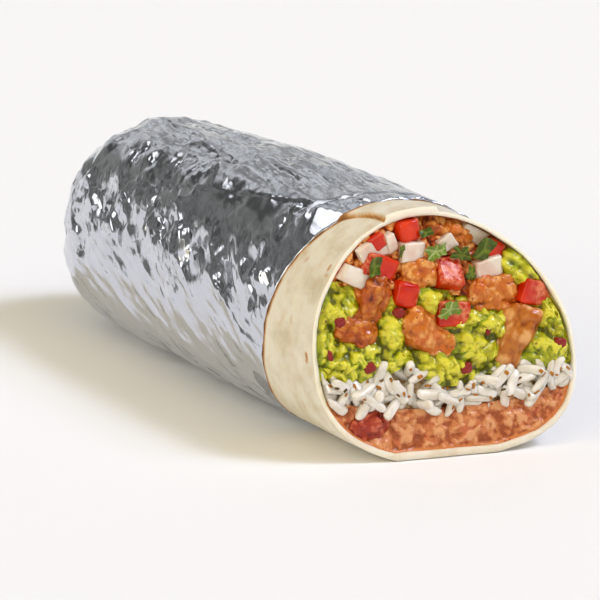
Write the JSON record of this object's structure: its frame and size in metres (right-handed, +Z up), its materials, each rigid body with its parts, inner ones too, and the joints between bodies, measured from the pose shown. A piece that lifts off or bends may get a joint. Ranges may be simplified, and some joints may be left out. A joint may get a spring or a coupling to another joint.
{
  "type": "burrito",
  "caption": "Large rolled flour-tortilla burrito in a crinkled foil wrap, front end cut to show beans, rice, guacamole, chicken and salsa.",
  "frame": {"origin": "middle of the footprint, on the surface that the burrito lies on", "axes": "+Z up, the roll lies along Y with its cut end towards -Y and its folded end towards +Y, +X is the right-hand side of someone who looks at the cut end"},
  "size_m": [0.078, 0.2108, 0.0684],
  "materials": {
    "foil": "household aluminium foil, crumpled, part satin and part bright",
    "tortilla": null,
    "refried_beans": null,
    "rice": null,
    "guacamole": null,
    "chicken": null,
    "tomato": null,
    "onion": null,
    "cilantro": null,
    "bean": null
  },
  "bodies": {
    "root": {"foil_wrap": "foil", "tortilla": "tortilla", "refried_beans": "refried_beans", "rice": "rice", "guacamole": "guacamole", "chicken_filling": "chicken", "cilantro_1": "cilantro", "cilantro_2": "cilantro", "cilantro_3": "cilantro", "cilantro_4": "cilantro", "cilantro_5": "cilantro", "cilantro_6": "cilantro", "cilantro_7": "cilantro", "cilantro_8": "cilantro", "onion_1": "onion", "onion_2": "onion", "onion_3": "onion", "onion_4": "onion", "onion_5": "onion", "onion_6": "onion", "onion_7": "onion", "tomato_1": "tomato", "tomato_2": "tomato", "tomato_3": "tomato", "tomato_4": "tomato", "tomato_5": "tomato", "tomato_6": "tomato", "tomato_7": "tomato", "tomato_8": "tomato", "chicken_1": "chicken", "chicken_2": "chicken", "chicken_3": "chicken", "chicken_4": "chicken", "chicken_5": "chicken", "chicken_6": "chicken", "chicken_7": "chicken", "chicken_8": "chicken", "guacamole_dollop": "guacamole", "bean_piece": "bean"}
  },
  "joints": []
}
